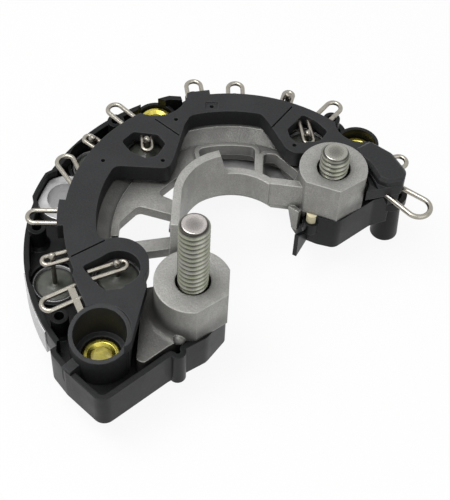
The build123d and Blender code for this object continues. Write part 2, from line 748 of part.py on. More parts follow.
def shaft_wall():
    """Curved wall beside the shaft, with a higher crest on the left and a bridge to the short post"""
    tail = -(SHAFT_RADIUS + SHAFT_REACH) / 2
    wall = sector(SHAFT_RADIUS, SHAFT_REACH, WALL_START, 180.0)
    wall += Pos(tail, -WALL_TAIL / 2) * Rectangle(SHAFT_WALL, WALL_TAIL)
    shape = raise_up(wall + bar(*BRIDGE, BRIDGE_WIDTH), SHAFT_WALL_LOW, SHAFT_WALL_MID)
    crest = sector(SHAFT_RADIUS, SHAFT_REACH, CREST_START, 180.0)
    crest += Pos(tail, -CREST_TAIL / 2) * Rectangle(SHAFT_WALL, CREST_TAIL)
    shape += raise_up(crest, SHAFT_WALL_MID, SHAFT_WALL_HIGH)
    foot_of_slope = (-CREST_TAIL - CREST_RAMP, SHAFT_WALL_MID)
    slope = ((-CREST_TAIL, SHAFT_WALL_MID), (-CREST_TAIL, SHAFT_WALL_HIGH), foot_of_slope)
    shape += Pos(tail, 0, 0) * extrude(Plane.YZ * outline(slope), SHAFT_WALL / 2, both=True)
    end = sector(SHAFT_RADIUS, SHAFT_REACH, CREST_START - CREST_RAMP_SPAN, CREST_START)
    ramp = raise_up(end, SHAFT_WALL_MID, SHAFT_WALL_HIGH)
    start = polar(SHAFT_REACH, CREST_START)
    slant = Pos(*start, SHAFT_WALL_HIGH) * Rot(0, 0, CREST_START - 90.0) * Rot(0, CREST_SLANT, 0)
    ramp -= slant * Box(40, 40, 40, align=(Align.CENTER, Align.CENTER, Align.MIN))
    return shape + ramp


def posts():
    """Both posts, the base of the long stud's post with its fillet and nub, and the leg of the other"""
    foot_1 = post_face(POST_1, POST_1_RADIUS, POST_1_FLATS)
    base = outline(BASE_CORNERS, BASE_ROUNDS) + (foot_1 & front_block(WALL + CLEARANCE))
    base -= circle(SEAM_BUMP, SEAM_BUMP_RADIUS + CLEARANCE)
    shape = raise_up(base, FLOOR_TOP, BASE_TOP) + raise_up(foot_1, BASE_TOP, POST_TOP)
    outer = POST_1_RADIUS + POST_FILLET
    curve = ThreePointArc(
        (outer, 0, BASE_TOP),
        (POST_1_RADIUS + POST_FILLET * 0.3, 0, BASE_TOP + POST_FILLET * 0.3),
        (POST_1_RADIUS, 0, BASE_TOP + POST_FILLET),
    )
    core = (POST_1_RADIUS - 1.0, 0, BASE_TOP)
    top = (POST_1_RADIUS - 1.0, 0, BASE_TOP + POST_FILLET)
    edge = [curve, Line(curve @ 1, top), Line(top, core), Line(core, curve @ 0)]
    fillet_ring = Pos(*POST_1, 0) * revolve(make_face(edge), Axis.Z)
    fillet_ring = fillet_ring & raise_up(outline(BASE_CORNERS, BASE_ROUNDS), BASE_TOP, POST_TOP)
    shape += fillet_ring & raise_up(circle(POST_1, outer) & fan_of_post(), BASE_TOP, POST_TOP)
    half_ball = Sphere(NUB_RADIUS, arc_size1=0, align=(Align.CENTER, Align.CENTER, Align.MIN))
    shape += Pos(*NUB, BASE_TOP) * half_ball

    room = right_block(WALL + CLEARANCE)
    foot_2 = post_face(POST_2, POST_2_RADIUS, POST_2_FLATS)
    shape += raise_up(foot_2 & room - circle(BUSH, BUSH_RADIUS + FIT), FLOOR_TOP, BASE_TOP)
    shape += raise_up(foot_2, BASE_TOP, POST_TOP)
    return shape + leg()


def fan_of_post():
    """Directions in which the long stud's post has its fillet"""
    reach = 3 * POST_1_RADIUS
    far = [polar(reach, angle, POST_1) for angle in (110.0, 184.0, 258.0)]
    return outline((POST_1, *far))


def positive_heat_sink():
    """Die casting: diode ring, base, posts, shaft wall, webs with windows, and struts"""
    casting = casting_ring() + casting_web() + shaft_wall() + posts()
    for place in POSITIVE_DIODES:
        casting -= rod(place, DIODE_RADIUS, FLOOR_TOP - 1.0, RING_TOP + 1.0)
    for place in NEGATIVE_DIODES:
        casting -= rod(place, DIODE_RADIUS + DIODE_AIR, FLOOR_TOP - 1.0, RING_TOP + 1.0)
    for place in (POST_1, POST_2):
        casting -= rod(place, POST_BORE, FLOOR_TOP - 1.0, POST_TOP + 1.0)
        casting -= rod(place, STUD_HEAD_RADIUS, FLOOR_TOP - 1.0, FLOOR_TOP + STUD_HEAD)
    for name in FIXINGS:
        casting -= rod(fixing_place(name), GUIDE_RADIUS + CLEARANCE, FLOOR_TOP - 1.0, POST_TOP)
    for place in SLEEVES:
        casting -= rod(place, SLEEVE_SEAT_RADIUS, FLOOR_TOP - 1.0, RING_TOP + 1.0)
    casting -= rod(EAR, EAR_RADIUS + CLEARANCE, FLOOR_TOP - 1.0, RING_TOP + 1.0)
    return casting


def cover_plan():
    """Plan of the terminal cover, without its windows"""
    plan = sector(COVER_INNER, COVER_OUTER, 116.0, RING_STOP)
    plan += sector(COVER_INNER_BACK, COVER_OUTER, 40.0, 117.0)
    plan += circle(POSITIVE_DIODES[0], LOBE_RADIUS + 0.8)
    plan += outline(FRONT_PIECE, FRONT_PIECE_ROUNDS)
    plan += outline(SECOND_LOBE, SECOND_LOBE_ROUNDS)
    plan += outline(THIRD_LOBE, THIRD_LOBE_ROUNDS)
    plan = offset(offset(plan, CORNER_ROUND), -CORNER_ROUND)
    plan += sector(COVER_OUTER - 1.0, COVER_STEP_OUTER, 101.0, 109.5)
    plan += sector(COVER_OUTER - 1.0, COVER_STEP_OUTER, 177.0, 188.0)
    plan += sector(TRAY_INNER, COVER_END_OUTER, 17.0, 41.0)
    plan += circle(fixing_place("front"), GUIDE_RADIUS)
    plan -= circle(fixing_place("rear_left"), NOTCH_RADIUS)
    plan -= circle(fixing_place("rear_right"), REAR_GUIDE_RADIUS + 1.0)
    plan -= circle(POST_2, POST_2_RADIUS + 0.9)
    plan -= circle(fixing_place("front"), GUIDE_BORE)
    return plan


def guide_tube():
    """Tube over the front fixing hole with its step, and the latch through the tray's wall"""
    place = fixing_place("front")
    tube = circle(place, GUIDE_RADIUS) - circle(place, GUIDE_BORE)
    shape = raise_up(tube, FLOOR_TOP, COVER_TOP)
    step = circle(place, GUIDE_RADIUS) - circle(place, GUIDE_STEP_BORE)
    shape += raise_up(step, FLOOR_TOP, FLOOR_TOP + GUIDE_STEP)
    latch = latch_strip(LATCH_WIDTH) - circle(place, GUIDE_BORE)
    shape += raise_up(latch, FLOOR_TOP + CLEARANCE, RIM_TOP + 1.0)
    return shape


def end_block():
    """Raised block with chamfered top at the end of the cover, and the channel along its inner side"""
    face = outline(END_BLOCK, END_BLOCK_ROUNDS)
    block = raise_up(face, PLATE_LOW, BLOCK_TOP)
    block = chamfer(block.faces().sort_by(Axis.Z)[-1].edges(), END_BLOCK_CHAMFER)
    channel = (offset(face, GROOVE_WIDTH) - face) & sector(TRAY_INNER, COVER_OUTER - 4.5, 8.0, 42.0)
    return block, raise_up(channel, GROOVE_TOP, BLOCK_TOP)


def terminal_cover(wires):
    """Charcoal moulding over the diode ring, with windows, a guide tube and a raised end block"""
    plan = cover_plan()
    window_1 = outline(FIRST_WINDOW, 1.0) + circle((-28.9, -19.2), 5.6)
    windows = window_1 + outline(SECOND_WINDOW, 1.2) + outline(THIRD_WINDOW, 1.2)
    cover = raise_up(plan - windows, PLATE_LOW, COVER_TOP)
    skirt = plan - offset(plan, -SKIRT_WALL)
    cover += raise_up(skirt & (fan(40.0, 126.0) + fan(126.0, 212.0)), RING_TOP, PLATE_LOW)
    place = fixing_place("front")
    side_start = (place[0] + GUIDE_RADIUS - 0.4, place[1] + 11.0)
    side = bar(side_start, (place[0] + GUIDE_BORE, place[1] - 3.4), SKIRT_WALL)
    cover += raise_up(side, FLOOR_TOP, COVER_TOP)
    cover -= rod(place, GUIDE_BORE, FLOOR_TOP + GUIDE_STEP, BLOCK_TOP)
    cover += guide_tube()

    block, channel = end_block()
    cover += block
    cover -= channel
    outer_wall = sector(COVER_END_OUTER - 3.0, COVER_END_OUTER, 17.5, 40.0)
    cover += raise_up(outer_wall, RIM_TOP, PLATE_LOW)

    hinge = Pos(place[0], place[1] + GUIDE_RADIUS, COVER_TOP) * Rot(GUIDE_SLANT, 0, 0)
    slab = Box(3 * GUIDE_RADIUS, 3 * GUIDE_RADIUS, 2 * GUIDE_RADIUS)
    above = hinge * Pos(0, -GUIDE_RADIUS, GUIDE_RADIUS) * slab
    cover -= above & rod(place, GUIDE_RADIUS, RIM_TOP, BLOCK_TOP)
    for start, stop in SLITS:
        cover -= raise_up(bar(start, stop, SLIT_WIDTH), COVER_TOP - SLIT_DEPTH, BLOCK_TOP)
    cover -= raise_up(Pos(*RECESS) * Rectangle(*RECESS_SIZE), COVER_TOP - RECESS_DEPTH, BLOCK_TOP)
    for hole in SMALL_HOLES:
        cover -= rod(hole, SMALL_HOLE_RADIUS, COVER_TOP - SMALL_HOLE_DEPTH, BLOCK_TOP)
    for sleeve in SLEEVES:
        cover -= rod(sleeve, SLEEVE_TOP_RADIUS + 1.2, FLOOR_TOP, SLEEVE_TOP + CLEARANCE)
    for wire in wires.values():
        cover -= wire
    return cover


def positive_diode(place):
    """Press-fit diode cup with a recessed potting face and a lead welded to its hairpin"""
    return diode(place, RING_TOP - DIODE_HEIGHT, RING_TOP - FIT)


def negative_diode(place):
    """Press-fit diode standing proud of the lower plate"""
    return diode(place, PAD_HEIGHT, FLOOR_TOP + DIODE_PROUD)


def diode(place, low, high):
    """Diode cup between two heights, with its lead and weld bead"""
    weld = WIRE_LEVEL + WELD_RISE
    profile = (
        (0, low),
        (DIODE_RADIUS - DIODE_BEVEL, low),
        (DIODE_RADIUS, low + DIODE_BEVEL),
        (DIODE_RADIUS, high - DIODE_BEVEL),
        (DIODE_RADIUS - DIODE_BEVEL / 2, high),
        (DIODE_CAP, high),
        (DIODE_CAP - 0.2, high - POTTING_DEPTH),
        (LEAD_RADIUS + 1.0, high - POTTING_DEPTH + 0.3),
        (LEAD_RADIUS, high - POTTING_DEPTH + 1.0),
        (LEAD_RADIUS, weld),
        (0, weld),
    )
    bead = Pos(place[0], place[1], weld) * Sphere(WELD_RADIUS)
    body = turned(place, profile) + bead
    return body


def stud(place, free, head_low):
    """Headed stud pressed in from below, with a chamfered end"""
    top = POST_TOP + free
    profile = (
        (0, head_low),
        (STUD_HEAD_RADIUS - FIT, head_low),
        (STUD_HEAD_RADIUS - FIT, FLOOR_TOP + STUD_HEAD),
        (STUD_NECK_RADIUS, FLOOR_TOP + STUD_HEAD),
        (STUD_NECK_RADIUS, POST_TOP + THREAD_START),
        (STUD_RADIUS, POST_TOP + THREAD_START),
        (STUD_RADIUS, top - STUD_CHAMFER),
        (STUD_RADIUS - STUD_CHAMFER, top),
        (0, top),
    )
    return turned(place, profile)


def eyelet(place):
    """Brass eyelet through the plate and the tray floor, with a rolled flange"""
    outer = EYELET_BORE + EYELET_WALL
    seat = FLOOR_TOP + EYELET_SEAT
    profile = (
        (EYELET_BORE, 0),
        (outer, 0),
        (outer, seat),
        (EYELET_FLANGE, seat),
        (EYELET_FLANGE, seat + EYELET_ROLL * 0.6),
        (EYELET_FLANGE - 0.5, seat + EYELET_ROLL),
        (outer + 0.5, seat + EYELET_ROLL),
        (EYELET_BORE, seat + EYELET_ROLL - 0.7),
    )
    return turned(place, profile)


def insulating_bush():
    """Cream bush that holds the short stud's post clear of the tray's front corner"""
    return rod(BUSH, BUSH_RADIUS, FLOOR_TOP, BASE_TOP)


def main():
    """Build every node and write it"""
    os.makedirs("parts", exist_ok=True)
    wires = all_wires()
    save("negative_heat_sink", negative_heat_sink())
    save("insulator_tray", insulator_tray())
    save("positive_heat_sink", positive_heat_sink())
    save("terminal_cover", terminal_cover(wires))
    save("b_plus_stud", stud(POST_1, STUD_FREE[0], FLOOR_TOP))
    save("short_stud", stud(POST_2, STUD_FREE[1], FLOOR_TOP))
    for index, place in enumerate(POSITIVE_DIODES):
        save("positive_diode_" + str(index + 1), positive_diode(place))
    for index, place in enumerate(NEGATIVE_DIODES):
        save("negative_diode_" + str(index + 1), negative_diode(place))
    for name in FIXINGS:
        save("eyelet_" + name, eyelet(fixing_place(name)))
    save("insulating_bush", insulating_bush())
    for name, wire in wires.items():
        save(name, wire)


main()
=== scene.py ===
"""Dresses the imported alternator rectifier: threads, diodes, finishes, and a plain studio."""

from math import asin, cos, pi, radians, sin

import bpy
import numpy as np
from bpy.props import FloatProperty, FloatVectorProperty, IntProperty, PointerProperty
from bpy.types import Operator, Panel, PropertyGroup
from mathutils import Matrix, Vector


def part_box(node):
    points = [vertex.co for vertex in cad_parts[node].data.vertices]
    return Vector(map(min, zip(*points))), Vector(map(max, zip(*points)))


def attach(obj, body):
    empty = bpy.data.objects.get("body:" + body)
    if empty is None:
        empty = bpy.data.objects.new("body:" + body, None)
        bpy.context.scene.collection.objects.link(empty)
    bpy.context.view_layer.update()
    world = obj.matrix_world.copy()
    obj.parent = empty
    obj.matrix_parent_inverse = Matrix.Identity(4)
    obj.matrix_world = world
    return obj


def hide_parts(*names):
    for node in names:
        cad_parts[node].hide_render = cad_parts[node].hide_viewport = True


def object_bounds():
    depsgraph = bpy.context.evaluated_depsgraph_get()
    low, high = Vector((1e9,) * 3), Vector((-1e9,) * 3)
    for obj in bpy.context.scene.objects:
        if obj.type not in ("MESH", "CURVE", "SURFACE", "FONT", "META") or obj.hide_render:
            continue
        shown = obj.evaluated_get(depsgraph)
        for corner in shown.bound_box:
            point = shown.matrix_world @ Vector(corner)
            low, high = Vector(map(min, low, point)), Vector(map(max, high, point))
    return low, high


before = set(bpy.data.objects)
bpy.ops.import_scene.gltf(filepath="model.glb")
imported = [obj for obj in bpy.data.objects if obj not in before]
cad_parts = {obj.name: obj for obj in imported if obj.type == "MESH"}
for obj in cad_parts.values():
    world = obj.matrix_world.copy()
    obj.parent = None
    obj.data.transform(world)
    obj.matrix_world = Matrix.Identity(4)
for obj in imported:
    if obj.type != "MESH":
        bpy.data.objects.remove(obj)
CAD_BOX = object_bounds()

bl_info = {
    "name": "Alternator rectifier dressing",
    "version": (1, 0, 0),
    "blender": (4, 5, 0),
    "location": "3D View > Sidebar > Rectifier",
    "description": "Threads, diodes, finishes and studio for an alternator rectifier",
    "category": "Object",
}

MM = 0.001

# Nodes by finish
WIRES = tuple(f"stator_loop_{i}" for i in range(1, 8)) + ("side_loop", "w_terminal")
HAIRPINS = tuple(f"hairpin_{side}_{i}" for side in ("positive", "negative") for i in (1, 2, 3))
EYELETS = ("eyelet_front", "eyelet_rear_left", "eyelet_rear_right")
DIODES = tuple(f"{side}_diode_{i}" for side in ("positive", "negative") for i in (1, 2, 3))

# Sizes of the dressed studs and diodes, on the plain solids of the CAD or just inside them
CREST_RADIUS = 4.0 * MM
NECK_RADIUS = 3.5 * MM
HEAD_HEIGHT = 3.0 * MM
END_CHAMFER = 0.9 * MM
THREAD_START = 22.0 * MM
NECK_GAP = 0.5 * MM
RIM_HEIGHTS = {"positive": 13.95 * MM, "negative": 7.4 * MM}
LEAD_RADIUS = 0.65 * MM
BEAD_RADIUS = 1.05 * MM
BEAD_DROP = 1.1 * MM

# Sizes of the open cups and their knurled sides
CUP_BEVEL = 0.5 * MM
LIP_OUTER_RADIUS = 6.1 * MM
LIP_INNER_RADIUS = 5.6 * MM
CUP_BORE_RADIUS = 5.5 * MM
CUP_DEPTH = 0.95 * MM
KNURL_RIDGES = 60
KNURL_DEPTH = 0.12 * MM
POTTING_DROP = 0.75 * MM


# Meshes


def new_piece(name, vertices, faces):
    """Puts points and faces into a smooth mesh that rides on the part's one body"""
    mesh = bpy.data.meshes.new(name)
    mesh.from_pydata([tuple(point) for point in vertices.tolist()], [], [tuple(face) for face in faces])
    mesh.validate()
    mesh.polygons.foreach_set("use_smooth", np.ones(len(mesh.polygons), dtype=bool))
    mesh.update()
    piece = bpy.data.objects.new(name, mesh)
    bpy.context.scene.collection.objects.link(piece)
    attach(piece, "root")
    return piece


def turned_mesh(radii, heights, centre):
    """Surface of revolution: point = centre + (r cos a, r sin a, h), r and h given per row and per angle.

    The first and last rows close on a point at the axis."""
    rows, steps = radii.shape
    angles = np.linspace(0, 2 * pi, steps, endpoint=False)[None, :]
    east = centre[0] + radii * np.cos(angles)
    north = centre[1] + radii * np.sin(angles)
    grid = np.stack((east, north, heights), axis=-1)
    poles = [[centre[0], centre[1], heights[row].mean()] for row in (0, -1)]
    points = np.concatenate((grid.reshape(-1, 3), poles))
    i, j = np.meshgrid(np.arange(rows - 1), np.arange(steps), indexing="ij")
    after = (j + 1) % steps
    here, above = i * steps, (i + 1) * steps
    quads = np.stack((here + j, here + after, above + after, above + j), axis=-1)
    ring = np.arange(steps)
    following = (ring + 1) % steps
    low, high = rows * steps, rows * steps + 1
    last = (rows - 1) * steps
    bottom = np.stack((following, ring, np.full(steps, low)), axis=-1)
    top = np.stack((last + ring, last + following, np.full(steps, high)), axis=-1)
    return points, quads.reshape(-1, 4).tolist() + bottom.tolist() + top.tolist()


def profile_rows(profile, steps):
    """Radii and heights of a list of radius and height pairs, the same at every angle"""
    table = np.array(profile, dtype=float)
    return np.repeat(table[:, 0:1], steps, axis=1), np.repeat(table[:, 1:2], steps, axis=1)


# Shader maths

# Colour sockets of the Mix node, which shares its names among number, vector and colour
MIX_FACTOR, MIX_START, MIX_END, MIX_RESULT = 0, 6, 7, 2


class Field:
    """A shader socket that adds a node for each operator used on it"""

    def __init__(self, tree, socket):
        self.tree = tree
        self.socket = socket

    def _maths(self, operation, first, second):
        return node(self.tree, "ShaderNodeMath", {"operation": operation}, {0: first, 1: second})

    def __add__(self, other):
        return self._maths("ADD", self, other)

    def __radd__(self, other):
        return self._maths("ADD", other, self)

    def __sub__(self, other):
        return self._maths("SUBTRACT", self, other)

    def __rsub__(self, other):
        return self._maths("SUBTRACT", other, self)

    def __mul__(self, other):
        return self._maths("MULTIPLY", self, other)

    def __rmul__(self, other):
        return self._maths("MULTIPLY", other, self)

    def ramp(self, low, high, bottom=0.0, top=1.0):
        """Value carried from the range low..high to bottom..top, held at both ends"""
        return node(self.tree, "ShaderNodeMapRange", {"clamp": True},
                    {"Value": self, "From Min": low, "From Max": high, "To Min": bottom, "To Max": top})


def node(tree, kind, settings, inputs, output=0):
    """Adds a node, makes its settings first, then sets or links its sockets, and returns one output"""
    made = tree.nodes.new(kind)
    for key, value in settings.items():
        setattr(made, key, value)
    for key, value in inputs.items():
        if isinstance(value, Field):
            tree.links.new(value.socket, made.inputs[key])
        else:
            made.inputs[key].default_value = value
    return Field(tree, made.outputs[output])


class Finish:
    """A material with its shader and the textures that its expressions start from"""

    def __init__(self, name, **constants):
        self.material = bpy.data.materials.new(name)
        self.material.use_nodes = True
        self.tree = self.material.node_tree
        self.tree.nodes.clear()
        shader = self.tree.nodes.new("ShaderNodeBsdfPrincipled")
        output = self.tree.nodes.new("ShaderNodeOutputMaterial")
        self.tree.links.new(shader.outputs["BSDF"], output.inputs["Surface"])
        self.shader = shader
        self.output = output
        for key, value in constants.items():
            shader.inputs[key.replace("_", " ")].default_value = value
        self.place = node(self.tree, "ShaderNodeTexCoord", {}, {}, output="Object")

    def vector_maths(self, operation, first, second, output="Vector"):
        """One step of vector arithmetic"""
        inputs = {0: first, 1: second}
        return node(self.tree, "ShaderNodeVectorMath", {"operation": operation}, inputs, output)

    def noise(self, size, detail=3.0, roughness=0.55, stretch=(1, 1, 1)):
        """Noise whose features are about a size in metres"""
        scaled = node(self.tree, "ShaderNodeMapping", {}, {"Vector": self.place, "Scale": stretch})
        inputs = {"Vector": scaled, "Scale": 1.0 / size, "Detail": detail, "Roughness": roughness}
        return node(self.tree, "ShaderNodeTexNoise", {}, inputs, output="Fac")

    def cells(self, size):
        """Distance to the nearest of scattered points about a size apart"""
        inputs = {"Vector": self.place, "Scale": 1.0 / size}
        return node(self.tree, "ShaderNodeTexVoronoi", {}, inputs, output="Distance")

    def height(self):
        """Height above the seat plane, in metres"""
        return node(self.tree, "ShaderNodeSeparateXYZ", {}, {"Vector": self.place}, output="Z")

    def upward(self):
        """How far the surface faces up, from -1 to 1"""
        normal = node(self.tree, "ShaderNodeNewGeometry", {}, {}, output="Normal")
        return node(self.tree, "ShaderNodeSeparateXYZ", {}, {"Vector": normal}, output="Z")

    def off_axis(self, centre):
        """Distance from an upright axis, in metres"""
        moved = self.vector_maths("SUBTRACT", self.place, (centre[0], centre[1], 0.0))
        flat = self.vector_maths("MULTIPLY", moved, (1.0, 1.0, 0.0))
        return self.vector_maths("LENGTH", flat, (0.0, 0.0, 0.0), output="Value")

    def edges(self, radius, sharpness=0.25):
        """Mask that is 1 along edges: where a softened normal leaves the true one"""
        soft = node(self.tree, "ShaderNodeBevel", {"samples": 4}, {"Radius": radius})
        true = node(self.tree, "ShaderNodeNewGeometry", {}, {}, output="True Normal")
        agree = self.vector_maths("DOT_PRODUCT", soft, true, output="Value")
        return (1 - agree).ramp(0.01, sharpness)

    def blend(self, mask, first, second):
        """Colour that goes from the first to the second as the mask goes from 0 to 1"""
        start, end = [colour if isinstance(colour, Field) else (*colour, 1.0) for colour in (first, second)]
        inputs = {MIX_FACTOR: mask, MIX_START: start, MIX_END: end}
        return node(self.tree, "ShaderNodeMix", {"data_type": "RGBA"}, inputs, output=MIX_RESULT)

    def hollows(self, reach, low=0.35, high=0.9):
        """Mask that is 1 in corners and hollows, where walls within a reach in metres close in"""
        nearness = {"Distance": reach}
        open_share = node(self.tree, "ShaderNodeAmbientOcclusion", {"samples": 8}, nearness, output="AO")
        return open_share.ramp(low, high, 1.0, 0.0)

    def bump(self, height, strength, distance, softened=0.0):
        """Bump of a height field, over an edge softened by a radius in metres"""
        inputs = {"Height": height, "Strength": strength, "Distance": distance}
        if softened:
            inputs["Normal"] = node(self.tree, "ShaderNodeBevel", {"samples": 6}, {"Radius": softened})
        return node(self.tree, "ShaderNodeBump", {}, inputs)

    def feed(self, **fields):
        """Links fields to the shader's sockets"""
        for key, field in fields.items():
            self.tree.links.new(field.socket, self.shader.inputs[key.replace("_", " ")])
        return self.material


def seen_rays(tree):
    """Mask that is 1 for camera, glossy and transmission rays"""
    rays = [node(tree, "ShaderNodeLightPath", {}, {}, output="Is " + kind + " Ray")
            for kind in ("Camera", "Glossy", "Transmission")]
    return (rays[0] + rays[1] + rays[2]).ramp(0.0, 1.0)


def tint(colour, factor):
    """A colour made darker or lighter by a factor"""
    return tuple(min(1.0, channel * factor) for channel in colour)


def cast_aluminium(colour):
    """Sandy die casting: grit, grey clouds, painted shade in hollows and towards the outer, lower casting
    under the cover's wall, bare metal on its edges
    """
    finish = Finish("cast_aluminium", Metallic=0.55)
    grit = finish.noise(0.38 * MM, 3.0, 0.75)
    sand = finish.cells(0.5 * MM)
    cloud = finish.noise(7 * MM, 4.0, 0.6)
    streak = finish.noise(2.2 * MM, 3.0, 0.65, (1.0, 1.0, 0.25))
    body = finish.blend(grit.ramp(0.34, 0.68), tint(colour, 0.70), tint(colour, 1.22))
    clouded = finish.blend(cloud.ramp(0.35, 0.7, 0.0, 0.7), body, tint(colour, 0.78))
    streaked = finish.blend(streak.ramp(0.52, 0.75, 0.0, 0.45), clouded, tint(colour, 1.25))
    # Painted shade: darker outward from the axis and below the rim's height, for the shadow under the
    # cover's wall
    outward = finish.off_axis((0.0, 0.0)).ramp(26 * MM, 35 * MM)
    shade = outward * finish.height().ramp(14 * MM, 18 * MM, 1.0, 0.0)
    shaded_by_cover = finish.blend(shade * cloud.ramp(0.2, 0.6, 0.65, 0.9), streaked, tint(colour, 0.25))
    # Painted shade: darker in corners and hollows, from an occlusion mask
    hollow_shaded = finish.blend(finish.hollows(9 * MM) * 0.9, shaded_by_cover, tint(colour, 0.22))
    rub = finish.edges(0.5 * MM) * grit.ramp(0.25, 0.6, 0.3, 0.9)
    rubbed = finish.blend(rub, hollow_shaded, tint(colour, 1.6))
    relief = finish.bump(grit + sand * 0.5, 0.55, 0.14 * MM, 0.6 * MM)
    return finish.feed(Base_Color=rubbed, Roughness=cloud.ramp(0.3, 0.7, 0.38, 0.56), Normal=relief)


def stamped_aluminium(colour):
    """Lower heat sink: rolled sheet with faint directional scratches, smears and bright sheared edges"""
    finish = Finish("stamped_aluminium", Metallic=0.7)
    smear = finish.noise(5 * MM, 3.0, 0.6, (1, 1, 3))
    scratch = finish.noise(0.9 * MM, 3.0, 0.7, (0.12, 3.0, 1.0))
    grain = finish.noise(0.3 * MM, 2.0)
    body = finish.blend(smear.ramp(0.35, 0.7), tint(colour, 0.80), tint(colour, 1.1))
    scratched = finish.blend(scratch.ramp(0.55, 0.72, 0.0, 0.5), body, tint(colour, 1.35))
    rubbed = finish.blend(finish.edges(0.4 * MM) * 0.6, scratched, tint(colour, 1.5))
    relief = finish.bump(grain + scratch * 0.6, 0.3, 0.05 * MM, 0.45 * MM)
    return finish.feed(Base_Color=rubbed, Roughness=smear.ramp(0.3, 0.7, 0.32, 0.5), Normal=relief)


def moulded_plastic(name, colour, roughness, grain_size, edge, wear):
    """Glass-filled moulding: fine grain, slight clouds, scattered lint, and edges rubbed a little paler"""
    finish = Finish(name, Specular_IOR_Level=0.18)
    grain = finish.noise(grain_size, 3.0, 0.65)
    cloud = finish.noise(13 * MM, 4.0, 0.65)
    lint = finish.noise(0.55 * MM, 4.0, 0.8)
    dust = finish.upward().ramp(0.3, 1.0) * cloud.ramp(0.45, 0.75)
    body = finish.blend(grain.ramp(0.3, 0.7), tint(colour, 0.75), tint(colour, 1.25))
    dusty = finish.blend(dust * 0.35, body, tint(colour, 1.8))
    flecked = finish.blend(lint.ramp(0.68, 0.76, 0.0, 0.7) * dust, dusty, tint(colour, 4.0))
    rub = finish.edges(edge) * cloud.ramp(0.3, 0.65, 0.25, 1.0)
    rubbed = finish.blend(rub, flecked, tint(colour, wear))
    relief = finish.bump(grain + lint * 0.3, 0.4, 0.06 * MM, edge)
    rough = cloud.ramp(0.3, 0.7, roughness - 0.06, roughness + 0.1)
    return finish.feed(Base_Color=rubbed, Roughness=rough, Normal=relief)


def cream_plastic(colour):
    """Pale insulating moulding, slightly mottled, darker towards its foot"""
    finish = Finish("cream_plastic", Specular_IOR_Level=0.4)
    mottle = finish.noise(1.1 * MM, 3.0, 0.6)
    grain = finish.noise(0.25 * MM, 3.0, 0.6)
    body = finish.blend(mottle.ramp(0.35, 0.7), tint(colour, 0.82), colour)
    # Darker towards the foot of the bush
    darker_at_foot = finish.blend(finish.height().ramp(8.0 * MM, 11.0 * MM, 0.5, 0.0), body, tint(colour, 0.5))
    relief = finish.bump(grain, 0.3, 0.04 * MM, 0.2 * MM)
    return finish.feed(Base_Color=darker_at_foot, Roughness=mottle.ramp(0.3, 0.7, 0.42, 0.58), Normal=relief)


def zinc_plating(name, colour, tinge, centre, crest, depth, end_height, end_colour):
    """Zinc on a rolled thread: bright crests, painted shade darkening the roots, a tinge in patches and the
    cut end's colour
    """
    finish = Finish(name, Metallic=1.0)
    patch = finish.noise(2.4 * MM, 3.0, 0.6)
    scuff = finish.noise(0.22 * MM, 3.0, 0.6)
    body = finish.blend(patch.ramp(0.36, 0.66), colour, tinge)
    # Painted shade: darker from the crests down into the thread roots
    ridge = finish.off_axis(centre).ramp(crest - 0.75 * depth, crest - 0.1 * depth)
    threaded = finish.blend(ridge, tint(colour, 0.16), body)
    scuffed = finish.blend(scuff.ramp(0.56, 0.74, 0.0, 0.5), threaded, tint(colour, 0.62))
    face = finish.height().ramp(end_height - 0.25 * MM, end_height - 0.05 * MM)
    ended = finish.blend(face * finish.upward().ramp(0.6, 0.9), scuffed, end_colour)
    relief = finish.bump(scuff + patch * 0.5, 0.35, 0.03 * MM, 0.12 * MM)
    return finish.feed(Base_Color=ended, Roughness=scuff.ramp(0.3, 0.7, 0.22, 0.4), Normal=relief)


def cup_plating(colour):
    """Nickel on the pressed diode cups, dull and a little stained"""
    finish = Finish("cup_plating", Metallic=0.9)
    stain = finish.noise(1.7 * MM, 3.0, 0.6)
    scuff = finish.noise(0.2 * MM, 3.0, 0.6)
    body = finish.blend(stain.ramp(0.38, 0.66), colour, tint(colour, 0.6))
    relief = finish.bump(scuff, 0.3, 0.03 * MM, 0.12 * MM)
    return finish.feed(Base_Color=body, Roughness=scuff.ramp(0.3, 0.7, 0.34, 0.5), Normal=relief)


def wire_metal(name, colour, roughness, stain):
    """Tinned wire: bright, with drawn streaks, duller spots and heat stain"""
    finish = Finish(name, Metallic=1.0)
    spot = finish.noise(1.3 * MM, 4.0, 0.65)
    drawn = finish.noise(0.3 * MM, 3.0, 0.7, (0.5, 0.5, 2.0))
    body = finish.blend(drawn.ramp(0.35, 0.7), tint(colour, 0.86), tint(colour, 1.1))
    stained = finish.blend(spot.ramp(0.5, 0.72), body, stain)
    relief = finish.bump(spot + drawn * 0.4, 0.2, 0.05 * MM)
    rough = spot.ramp(0.3, 0.75, roughness, roughness + 0.2)
    return finish.feed(Base_Color=stained, Roughness=rough, Normal=relief)


def potting_compound(colour):
    """Grey potting in the diode cups: cloudy and faintly pitted"""
    finish = Finish("potting_compound", Specular_IOR_Level=0.5)
    patch = finish.noise(2.0 * MM, 4.0, 0.65)
    pit = finish.cells(0.7 * MM)
    body = finish.blend(patch.ramp(0.35, 0.7), tint(colour, 0.72), tint(colour, 1.12))
    pitted = finish.blend(pit.ramp(0.0, 0.22, 0.5, 0.0), body, tint(colour, 0.5))
    relief = finish.bump(patch + pit * 0.3, 0.35, 0.15 * MM)
    return finish.feed(Base_Color=pitted, Roughness=patch.ramp(0.3, 0.7, 0.34, 0.52), Normal=relief)


